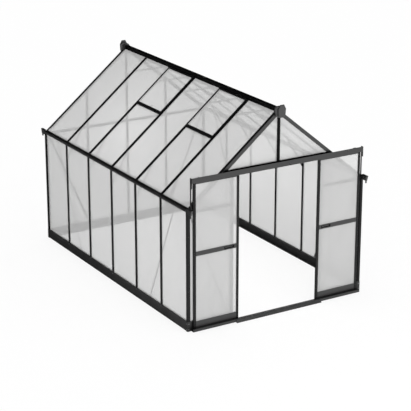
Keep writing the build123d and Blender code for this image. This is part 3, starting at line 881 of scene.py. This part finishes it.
@dataclass
class Studio:
    """A plain pale floor, soft light and the camera of the photograph."""

    camera_at: Point = (-9.6114, -16.0818, 7.3029)
    camera_turn: Point = (70.8277, 0.0086, -31.2190)
    lens: float = 134.23
    farthest: float = 200.0
    see_through: int = 48
    ambient: float = 1.0
    inner_watts: float = 10.5
    inner_places: Row = (-1.35, -0.45, 0.45, 1.35)
    inner_height: float = 1.25
    inner_radius: float = 0.3
    front_watts: float = 260.0
    front_size: Pair = (9.0, 5.0)
    front_at: Point = (3.0, -13.0, 5.5)
    front_aim: Point = (0.0, 0.0, 1.0)
    floor_reach: float = 90.0
    floor_drop: float = 0.001
    floor_grey: float = 0.95
    floor_glow: float = 0.85
    # What gloss sees: the strength at each end of a stretch, then where the stretch starts and stops.
    ceiling_fade: Fade = (1.0, 0.006, 0.02, 0.16)
    front_fade: Fade = (1.0, 0.06, -0.25, 0.35)
    left_fade: Fade = (0.3, 0.015, -2.0, 0.9)
    inside_fade: Fade = (1.0, 0.04, -2.1, -1.7)
    edge_fade: Fade = (0.0, 1.0, -1.4, -1.1)

    def camera(self) -> None:
        """Sets the camera."""
        data = bpy.data.cameras.new("camera")
        data.lens = self.lens
        data.clip_end = self.farthest
        camera = into_scene("camera", data)
        camera.location = self.camera_at
        camera.rotation_euler = Euler([math.radians(a) for a in self.camera_turn])
        bpy.context.scene.camera = camera

    def world(self) -> None:
        """A white surround that lights evenly, and that gloss sees as bright in front and low down only."""
        world = bpy.data.worlds.new("studio")
        bpy.context.scene.world = world
        world.use_nodes = True
        g = Graph(world.node_tree)
        world.node_tree.nodes.clear()
        path = g.add("ShaderNodeLightPath").outputs
        way = g.axes("Generated")
        ceiling, front = g.remap(way["Z"], *self.ceiling_fade), g.remap(way["Y"], *self.front_fade)
        seen = g.maths("MAXIMUM", path["Is Camera Ray"], path["Is Transmission Ray"])
        plain = g.choose(path["Is Glossy Ray"], self.ambient, g.maths("MULTIPLY", ceiling, front))
        light = g.add("ShaderNodeBackground", {"Color": WHITE, "Strength": g.choose(seen, plain, 1.0)})
        g.add("ShaderNodeOutputWorld", {"Surface": light.outputs[0]})

    def floor(self) -> None:
        """A wide pale floor that keeps a faint shadow, and that gloss sees as bright in front of the house."""
        mesh = bpy.data.meshes.new("floor")
        r, z = self.floor_reach, -self.floor_drop
        mesh.from_pydata([(-r, -r, z), (r, -r, z), (r, r, z), (-r, r, z)], [], [(0, 1, 2, 3)])
        floor = into_scene("floor", mesh)
        material = bpy.data.materials.new("pale_floor")
        material.use_nodes = True
        material.node_tree.nodes.clear()
        g = Graph(material.node_tree)
        path = g.add("ShaderNodeLightPath").outputs
        seen = g.maths("MAXIMUM", path["Is Camera Ray"], path["Is Glossy Ray"])
        seen = g.maths("MAXIMUM", seen, path["Is Transmission Ray"])
        place = g.axes("Object")
        left, inside = g.remap(place["Y"], *self.left_fade), g.remap(place["Y"], *self.inside_fade)
        zones = g.choose(g.remap(place["X"], *self.edge_fade), left, inside)
        matte = g.add("ShaderNodeBsdfDiffuse", {"Color": (self.floor_grey,) * 3})
        glow = g.add("ShaderNodeEmission", {"Color": WHITE, "Strength": g.choose(path["Is Glossy Ray"], 1.0, zones)})
        share = g.maths("MULTIPLY", seen, self.floor_glow)
        mix = g.add("ShaderNodeMixShader", {0: share, 1: matte.outputs[0], 2: glow.outputs[0]})
        g.add("ShaderNodeOutputMaterial", {"Surface": mix.outputs[0]})
        mesh.materials.append(material)
        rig.stage(floor)

    def lamps(self) -> None:
        """One large soft lamp in front of the doors, and a row of soft ones that light the inside as the sheets do."""
        data = bpy.data.lights.new("front_soft", "AREA")
        data.shape = "RECTANGLE"
        data.size, data.size_y = self.front_size
        data.energy = self.front_watts
        lamp = into_scene("front_soft", data)
        lamp.location = self.front_at
        aim = Vector(self.front_aim) - lamp.location
        lamp.rotation_euler = aim.to_track_quat("-Z", "Y").to_euler()
        for count, y in enumerate(self.inner_places):
            data = bpy.data.lights.new(f"inner_soft_{count}", "POINT")
            data.shadow_soft_size = self.inner_radius
            data.energy = self.inner_watts
            lamp = into_scene(f"inner_soft_{count}", data)
            lamp.location = (0.0, y, self.inner_height)
            lamp.visible_camera = False
            lamp.visible_glossy = False

    def build(self) -> None:
        """Sets the whole studio."""
        scene = bpy.context.scene
        scene.view_settings.view_transform = "Standard"
        scene.cycles.transparent_max_bounces = self.see_through
        self.camera()
        self.world()
        self.floor()
        self.lamps()


@dataclass
class Glazing:
    """All twin-wall sheets and their webs."""

    finishes: Finishes
    sheets: tuple[tuple[str, Way, tuple[str, ...]], ...] = (
        ("greenhouse", Way.ACROSS_Y, ("left_wall_panels", "right_wall_panels")),
        ("greenhouse", Way.ACROSS_X, ("back_wall_panels", "front_wall_panels")),
        ("greenhouse", Way.ACROSS_Y, ("left_roof_panels", "right_roof_panels", "vent_panels")),
        ("left_door", Way.ACROSS_X, ("left_door_panels",)),
        ("right_door", Way.ACROSS_X, ("right_door_panels",)),
    )

    def build(self) -> None:
        """Dresses the sheets and makes their webs."""
        flutes = Flutes(self.finishes)
        for body, way, nodes in self.sheets:
            for node in nodes:
                dress(node, self.finishes.get(way.value))
                flutes.build(node, body, way)


@dataclass
class Framework:
    """The coated frame, the base and the fittings that come from the frame file."""

    finishes: Finishes
    usual: tuple[tuple[Slot, str], ...] = (
        (Slot.FRAME, "frame"), (Slot.BASE, "base"), (Slot.PLASTIC, "plastic"),
        (Slot.NYLON, "nylon"), (Slot.BRIGHT, "bright"),
    )
    # Nodes that take darker copies of their coat, which paint the shade that falls on them.
    special: tuple[tuple[str, tuple[str, ...]], ...] = (
        ("grip", ("left_door_handle", "right_door_handle")),
        ("shade", ("gable_posts", "ridge_beam")),
        ("slim", ("corner_posts", "side_wall_posts", "roof_bars", "wall_ties")),
        ("slim", ("left_door_stiles", "right_door_stiles")),
    )

    def build(self) -> None:
        """Dresses the listed nodes in the darker copies that paint their shade, and every other node by its slot."""
        usual = {slot.value: name for slot, name in self.usual}
        own = {node: name for name, nodes in self.special for node in nodes}
        for row in FRAME["record"]["subparts"]:
            node, slot = row["node"], row["material_slot"]
            if slot in usual:
                dress(node, self.finishes.get(own.get(node, usual[slot])))


@dataclass
class Jambs:
    """The door jambs as tubes that end level with the lintel, and the sheet that closes the gable above each."""

    finishes: Finishes
    across: Pair = (0.614, 0.658)
    deep: Pair = (-1.866, -1.836)
    wall: float = 0.002
    foot: float = 0.124
    top: float = 1.899
    sheet_deep: Pair = (-1.8632, -1.8572)
    sheet_outline: Outline = ((0.6125, 1.8995), (0.6595, 1.8995), (0.6595, 1.9381), (0.6125, 1.9766))
    edge: float = 0.0006

    def ring(self, side: int, inset: float, z: float) -> list[Point]:
        """A level outline of one jamb, set in by a distance."""
        (x0, x1), (y0, y1) = ((low + inset, high - inset) for low, high in (self.across, self.deep))
        return [(side * x, y, z) for x, y in ((x0, y0), (x1, y0), (x1, y1), (x0, y1))]

    def sheet_corners(self, side: int) -> list[list[Point]]:
        """The front and back outlines of the sheet above one jamb."""
        return [[(side * x, y, z) for x, z in self.sheet_outline] for y in self.sheet_deep]

    def build(self) -> None:
        """Makes both jambs and both sheets."""
        tubes, sheets = Maker("door_jamb_tubes"), Maker("jamb_head_sheets")
        ribs = Repeat("jamb_head_flutes", "greenhouse", Slot.SHEET, self.finishes.get("sheet_x"))
        for side in BOTH:
            levels = ((0.0, self.foot), (0.0, self.top), (self.wall, self.top), (self.wall, self.foot))
            tubes.stack([self.ring(side, inset, z) for inset, z in levels], loop=True)
            outlines = self.sheet_corners(side)
            sheets.stack(outlines)
            corners = [Vector(point) for outline in outlines for point in outline]
            ribs.places += Flutes(self.finishes).sheet_places(corners, Vector((1, 0, 0)), Vector((0, 0, 1)))
        # The jambs take the darker copy of the frame coat, whose extra darkness is painted shade.
        piece = tubes.finish("greenhouse", Slot.FRAME, self.finishes.get("slim"), self.edge)
        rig.replaces(piece, "door_jambs")
        sheets.finish("greenhouse", Slot.SHEET, self.finishes.get("sheet_x"))
        ribs.grow(repeat_tree(Shape.WEB), {"Width": Flutes.web, "Depth": 1.0, "Height": 1.0})


@dataclass
class RidgeEnds:
    """The moulded ends of the ridge: a thick plate, a groove behind it, and a body that saddles the ridge beam."""

    finishes: Finishes
    reach: float = 0.068
    plate: float = 0.009
    groove: float = 0.020
    inset: float = 0.010
    chamfer: float = 0.005
    body_drop: float = 0.034
    saddle: float = 0.036
    edge: float = 0.0008
    profile: Outline = (
        (-0.028, 2.593), (0.028, 2.593), (0.055, 2.5415), (0.050, 2.455),
        (0.033, 2.438), (-0.033, 2.438), (-0.050, 2.455), (-0.055, 2.5415),
    )
    saddle_profile: Outline = (
        (-0.048, 2.4835), (-0.046, 2.530), (-0.028, 2.556), (0.028, 2.556), (0.046, 2.530), (0.048, 2.4835),
    )

    def ring(self, end: int, back: float, inset: float, drop: float) -> list[Point]:
        """One outline of the moulding.

        Args:
            end: -1 at the front and 1 at the back.
            back: The distance behind the moulding's face.
            inset: How far it lies inside the full outline.
            drop: How much lower its top is.

        Returns:
            The outline's points.
        """
        top = max(z for _, z in self.profile)
        low = min(z for _, z in self.profile)
        place = end * (GABLE + self.reach - back)
        found = []
        for x, z in self.profile:
            height = min(z, top - drop - inset)
            found.append((x - math.copysign(inset, x), place, max(height, low + inset)))
        return found

    def build(self) -> None:
        """Makes both ends and dresses them."""
        maker, rear = Maker("ridge_end_mouldings"), Maker("ridge_end_bodies")
        back = self.plate + self.groove
        for end in BOTH:
            maker.stack([
                self.ring(end, 0.0, self.chamfer, 0.0),
                self.ring(end, self.chamfer, 0.0, 0.0),
                self.ring(end, self.plate, 0.0, 0.0),
                self.ring(end, self.plate, self.inset, self.body_drop),
                self.ring(end, back, self.inset, self.body_drop),
            ])
            rear.stack([self.ring(end, back, 0.0, self.body_drop), self.ring(end, self.reach, 0.0, self.body_drop)])
            maker.stack([
                [(x, end * place, z) for x, z in self.saddle_profile] for place in (GABLE, GABLE - self.saddle)
            ])
        piece = maker.finish("greenhouse", Slot.PLASTIC, self.finishes.get("plastic"), self.edge)
        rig.replaces(piece, "ridge_end_caps")
        # The rear bodies take a paler copy of the plastic, painted light on their lit sides.
        rear.finish("greenhouse", Slot.PLASTIC, self.finishes.get("faded"), self.edge)


@dataclass
class Spouts:
    """The moulded hoppers at the gutters' ends, with their end plates and outlets."""

    finishes: Finishes
    end_plate: float = 0.003
    top: float = 1.528
    foot: float = 1.465
    outlet: float = 1.433
    wall: float = 0.0025
    lip: float = 0.005
    lip_step: float = 0.0002
    lip_inset: float = 0.0012
    outer_radius: float = 0.004
    foot_radius: float = 0.005
    inner_radius: float = 0.002
    floor_radius: float = 0.003
    neck_length: float = 0.014
    edge: float = 0.0005
    rim: Fade = (1.224, 1.254, 1.869, 1.973)
    foot_rim: Fade = (1.229, 1.253, 1.883, 1.955)
    outlet_at: Pair = (1.241, 1.943)
    outlet_radius: float = 0.010
    neck: Fade = (1.232, 1.252, 1.487, 1.508)
    plate_outline: Outline = ((1.178, 1.485), (1.254, 1.485), (1.254, 1.510), (1.238, 1.509), (1.178, 1.5581))

    def level(self, box: Fade, inset: float, radius: float, z: float) -> list[Point]:
        """A level ring of the hopper on the front right corner."""
        low, high = (box[0] + inset, box[2] + inset), (box[1] - inset, box[3] - inset)
        return [(x, y, z) for x, y in round_corners(low, high, radius)]

    def rings(self) -> list[list[Point]]:
        """The hopper's rings, down its outside and up its inside.

        Returns:
            The rings in order.
        """
        x, y = self.outlet_at
        outer, inner = self.outlet_radius, self.outlet_radius - self.wall
        tube = (x - outer, x + outer, y - outer, y + outer)
        levels = (
            (self.rim, 0.0, self.outer_radius, self.top),
            (self.rim, 0.0, self.outer_radius, self.top - self.lip),
            (self.rim, self.lip_inset, self.outer_radius, self.top - self.lip - self.lip_step),
            (self.foot_rim, 0.0, self.foot_radius, self.foot),
            (tube, 0.0, outer, self.foot),
            (tube, 0.0, outer, self.outlet),
            (tube, self.wall, inner, self.outlet),
            (tube, self.wall, inner, self.foot + self.wall),
            (self.foot_rim, self.wall, self.floor_radius, self.foot + self.wall),
            (self.rim, self.wall, self.inner_radius, self.top),
        )
        return [self.level(*row) for row in levels]

    def build(self) -> None:
        """Makes the four spouts and dresses them."""
        maker = Maker("gutter_spout_hoppers")
        rings = self.rings()
        x0, x1, z0, z1 = self.neck
        neck = ((x0, z0), (x1, z0), (x1, z1), (x0, z1))
        start = GABLE + self.end_plate
        for side in BOTH:
            for end in BOTH:
                maker.stack([[(side * x, end * y, z) for x, y, z in ring] for ring in rings], loop=True)
                maker.stack([[(side * x, end * y, z) for x, z in neck] for y in (start, start + self.neck_length)])
                maker.stack([[(side * x, end * y, z) for x, z in self.plate_outline] for y in (GABLE, start)])
        piece = maker.finish("greenhouse", Slot.PLASTIC, self.finishes.get("plastic"), self.edge)
        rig.replaces(piece, "gutter_spouts")


@dataclass
class HeaderSeal:
    """The rubber strip that closes the top of the header cover against the gable; its black paints the shade along the
    cover's top.
    """

    finishes: Finishes
    half_length: float = 0.738
    front: float = -1.9125
    back: float = -1.8665
    low: float = 1.8955
    high: float = 1.898
    lip: float = 0.0016
    edge: float = 0.0003

    def build(self) -> None:
        """Makes the strip, whose front edge is a low rounded lip."""
        maker = Maker("header_seal_strip")
        middle = (self.front + self.back) / 2
        profile = (
            (self.front, self.low),
            (self.front, self.low + self.lip),
            (self.front + self.lip, self.high),
            (middle, self.high - self.lip / 2),
            (self.back, self.high),
            (self.back, self.low),
        )
        maker.stack([[(x, y, z) for y, z in profile] for x in (-self.half_length, self.half_length)])
        # The near-black finish paints the shade along the header's top edge.
        maker.finish("greenhouse", Slot.PLASTIC, self.finishes.get("seal"), self.edge)


@dataclass
class DoorPulls:
    """The pale floor of the cups that slide the doors, whose paleness paints the light on it, and the cups' finger
    ridges.
    """

    finishes: Finishes
    low: Pair = (0.636, 0.9605)
    high: Pair = (0.744, 0.9695)
    floor: float = 1.888
    corner: float = 0.003
    sunk: float = 0.0001
    thick: float = 0.0005
    ridge_pitch: float = 0.012
    ridge_half: float = 0.0008
    ridge_gap: float = 0.001
    ridge_corner: float = 0.0007
    ridge_rise: float = 0.0011

    def build(self) -> None:
        """Makes a liner and its ridges for each door."""
        for name, side in DOORS:
            maker = Maker(f"{name}_pull_liner")
            face = round_corners(self.low, self.high, self.corner)
            depths = (self.floor - self.sunk, self.floor + self.thick)
            maker.stack([[(side * x, -y, z) for x, z in face] for y in depths])
            (x0, z0), (x1, z1) = self.low, self.high
            for k in range(int((x1 - x0) / self.ridge_pitch)):
                x = x0 + (k + 0.5) * self.ridge_pitch
                low = (x - self.ridge_half, z0 + self.ridge_gap)
                high = (x + self.ridge_half, z1 - self.ridge_gap)
                rib = round_corners(low, high, self.ridge_corner, 3)
                maker.stack([[(side * u, -y, v) for u, v in rib] for y in (self.floor, self.floor + self.ridge_rise)])
            # The liner's paler plastic paints the light on the cup's floor.
            maker.finish(name, Slot.PLASTIC, self.finishes.get("liner"))


@dataclass(frozen=True)
class Grid:
    """Fasteners at every mix of some places, given for the back right and mirrored to the named sides and ends."""

    xs: Row
    ys: Row
    zs: Row
    face: Point
    ends: Row = (1,)
    sides: Row = BOTH

    def places(self) -> list[Placed]:
        """Where the fasteners stand.

        Returns:
            The places.
        """
        x_way, y_way, z_way = self.face
        found = []
        for side, end in itertools.product(self.sides, self.ends):
            turn = Vector((side * x_way, end * y_way, z_way)).to_track_quat("Z", "Y").to_euler()
            for x, y, z in itertools.product(self.xs, self.ys, self.zs):
                found.append(Placed(Vector((side * x, end * y, z)), turn))
        return found


@dataclass
class Fasteners:
    """Screw heads on the outside of the frame, the doors and the base, and nuts on the braces inside."""

    finishes: Finishes
    head: float = 0.0085
    head_rise: float = 0.0016
    bolt: float = 0.012
    bolt_rise: float = 0.003
    nut: float = 0.011
    nut_rise: float = 0.004
    nut_from_end: float = 0.016
    tip: float = 0.02
    bar_steps: Row = (0.07, 0.42, 0.80, 1.18, 1.53)
    post_steps: Row = (0.165, 0.50, 0.84, 1.18, 1.455)
    plate_steps: Row = (0.028, 0.096)
    stile_lines: Row = (0.5695, 1.1655)
    door_face: float = -1.897
    door_steps: Row = (0.055, 0.100, 0.953, 0.977, 1.822, 1.840)
    frame_grids: tuple[Grid, ...] = (
        Grid((EAVES_X,), POST_LINES, post_steps, SIDEWAYS),
        Grid((1.247,), (1.859,), post_steps, SIDEWAYS, BOTH),
        Grid((1.231,), (1.875,), post_steps, BACKWARDS, BOTH),
        Grid((0.19, 0.58, 0.97, 1.17), (-1.913,), (1.875,), FORWARDS),
    )
    base_grids: tuple[Grid, ...] = (
        Grid((1.249,), (1.859,), plate_steps, SIDEWAYS, BOTH),
        Grid((1.231,), (1.877,), plate_steps, BACKWARDS, BOTH),
        Grid((1.243,), POST_LINES, (0.104,), SIDEWAYS),
        Grid((0.3, 0.61, 0.92), (1.871,), (0.104,), BACKWARDS),
    )

    def frame_heads(self) -> list[Placed]:
        """Screws along the glazing bars, the posts and the door header.

        Returns:
            The places.
        """
        found = []
        for side in BOTH:
            out = Vector((side * math.sin(ROOF_SLOPE), 0.0, math.cos(ROOF_SLOPE)))
            turn = out.to_track_quat("Z", "Y").to_euler()
            for y, step in itertools.product(POST_LINES, self.bar_steps):
                found.append(Placed(Vector(roof_point(side, y, step)), turn))
        return found + [place for grid in self.frame_grids for place in grid.places()]

    def base_heads(self) -> list[Placed]:
        """Bolts through the corner plates and the base rails."""
        return [place for grid in self.base_grids for place in grid.places()]

    def door_heads(self, side: int) -> list[Placed]:
        """Screws through a door's stiles into its rails."""
        return Grid(self.stile_lines, (self.door_face,), self.door_steps, FORWARDS, sides=(side,)).places()

    def brace_nuts(self) -> list[Placed]:
        """Nuts at the ends of the braces and ties inside the glazing.

        Returns:
            The places.
        """
        found = []
        ways = {
            "knee_braces": lambda c: Vector((0, 1, 0)),
            "collar_ties": lambda c: Vector((0, -1, 0)),
            "side_wall_braces": lambda c: Vector((-math.copysign(1, c.x), 0, 0)),
            "gable_braces": lambda c: Vector((0, -math.copysign(1, c.y), 0)),
        }
        for node, way in ways.items():
            for corners in islands(node):
                middle = sum(corners, Vector()) / len(corners)
                out = way(middle)
                face = max(c.dot(out) for c in corners)
                far = max(corners, key=lambda c: (c - middle).length)
                run = (far - middle).normalized()
                for sign in BOTH:
                    reach = max((c - middle).dot(run) * sign for c in corners)
                    near = [c for c in corners if (c - middle).dot(run) * sign > reach - self.tip]
                    tip = sum(near, Vector()) / len(near)
                    at = tip - run * sign * self.nut_from_end
                    at += out * (face - at.dot(out))
                    found.append(Placed(at, out.to_track_quat("Z", "Y").to_euler()))
        return found

    def build(self) -> None:
        """Makes every group of fasteners."""
        screw, nut = repeat_tree(Shape.SCREW), repeat_tree(Shape.NUT)
        coat, zinc = self.finishes.get("frame"), self.finishes.get("bright")
        head = {"Width": self.head, "Depth": self.head_rise}
        Repeat("frame_screw_heads", "greenhouse", Slot.FRAME, coat, self.frame_heads()).grow(screw, head)
        bolt = {"Width": self.bolt, "Depth": self.bolt_rise}
        Repeat("base_bolt_heads", "greenhouse", Slot.BRIGHT, zinc, self.base_heads()).grow(screw, bolt)
        for name, side in DOORS:
            Repeat(f"{name}_screw_heads", name, Slot.FRAME, coat, self.door_heads(side)).grow(screw, head)
        size = {"Width": self.nut, "Depth": self.nut_rise}
        Repeat("brace_nuts", "greenhouse", Slot.BRIGHT, zinc, self.brace_nuts()).grow(nut, size)


@dataclass
class Beads:
    """Rubber glazing beads along both edges of the bars' caps."""

    finishes: Finishes
    vent_bays: Row = (-0.93, 0.31)
    half_bay: float = 0.31
    foot: float = 0.032
    vent_top: float = 0.90
    head: float = 1.565
    wall_foot: float = 0.126
    wall_head: float = 1.483
    edge: float = 0.0232
    radius: float = 0.0013
    sunk: float = 0.0016

    def lines(self) -> list[tuple[Vector, Vector]]:
        """The two ends of each bead.

        Returns:
            Pairs of points.
        """
        found = []
        for side, y, turn in itertools.product(BOTH, POST_LINES, BOTH):
            place = y + turn * self.edge
            x = side * (EAVES_X - self.sunk)
            found.append((Vector((x, place, self.wall_foot)), Vector((x, place, self.wall_head))))
            in_vent = any(abs(place - vent) < self.half_bay for vent in self.vent_bays)
            steps = (self.foot, self.vent_top if in_vent else self.head)
            found.append(tuple(Vector(roof_point(side, place, s, self.sunk)) for s in steps))
        return found

    def build(self) -> None:
        """Makes the beads as one piece."""
        name = "glazing_beads"
        mesh = bpy.data.meshes.new(name)
        points = [point for line in self.lines() for point in line]
        mesh.from_pydata(points, [(k, k + 1) for k in range(0, len(points), 2)], [])
        carrier = into_scene(name, mesh)
        grow(carrier, bead_tree(), {"Radius": self.radius, "Finish": self.finishes.get("rubber")})
        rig.ride(carrier, "greenhouse")
        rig.slot(carrier, Slot.PLASTIC.value)
        LOG.info("%s: %d lines", name, len(points) // 2)


@dataclass
class SizeNote:
    """Keeps the boxes of the frame and of the finished house."""

    path: str = "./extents.json"
    before: list[list[float]] = field(default_factory=list)

    def start(self) -> None:
        """Notes the box straight after loading."""
        self.before = [list(v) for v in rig.bounds()]

    def write(self) -> None:
        """Writes both boxes."""
        after = [list(v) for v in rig.bounds()]
        with open(self.path, "w") as file:
            json.dump({"cad": self.before, "visual": after}, file)


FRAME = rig.load()


def main() -> None:
    """Builds the greenhouse in order and reports each piece."""
    logging.basicConfig(level=logging.INFO, format="%(name)s: %(message)s")
    note = SizeNote()
    note.start()
    finishes = Finishes()
    Studio().build()
    Framework(finishes).build()
    Jambs(finishes).build()
    Glazing(finishes).build()
    RidgeEnds(finishes).build()
    Spouts(finishes).build()
    HeaderSeal(finishes).build()
    DoorPulls(finishes).build()
    Fasteners(finishes).build()
    Beads(finishes).build()
    note.write()


if __name__ == "__main__":
    main()
